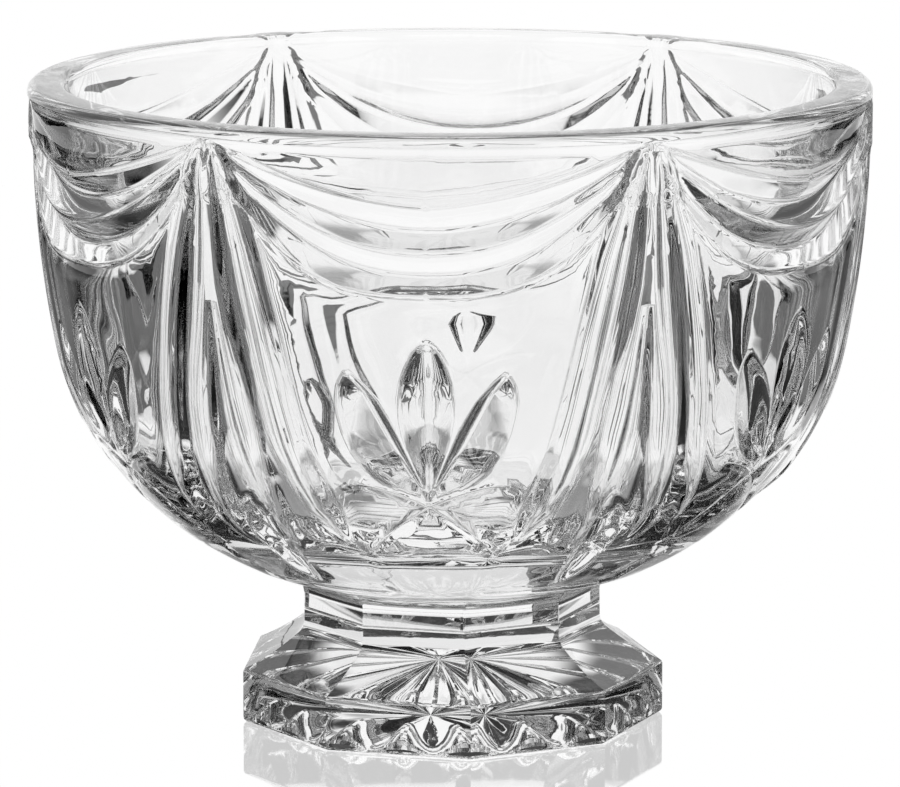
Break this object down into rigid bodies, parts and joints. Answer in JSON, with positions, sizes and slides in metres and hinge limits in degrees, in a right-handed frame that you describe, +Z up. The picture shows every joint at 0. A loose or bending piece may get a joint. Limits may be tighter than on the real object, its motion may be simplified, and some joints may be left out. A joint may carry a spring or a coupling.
{
  "type": "trifle bowl",
  "caption": "Deep round clear glass trifle bowl for serving layered desserts, with draped swags, pleats and palm leaves in relief, on a short neck and a many-sided foot.",
  "frame": {"origin": "middle of the foot's underside, on the table", "axes": "+Z up along the bowl's axis, -Y towards the middle of the front panel, +X to the viewer's right"},
  "size_m": [0.216, 0.216, 0.1658],
  "materials": {
    "pressed_crystal": "clear and colourless, fire polished",
    "clear_adhesive": "clear cured film"
  },
  "bodies": {
    "root": {"bowl": "pressed_crystal", "foot": "pressed_crystal", "adhesive_bond": "clear_adhesive"}
  },
  "joints": []
}
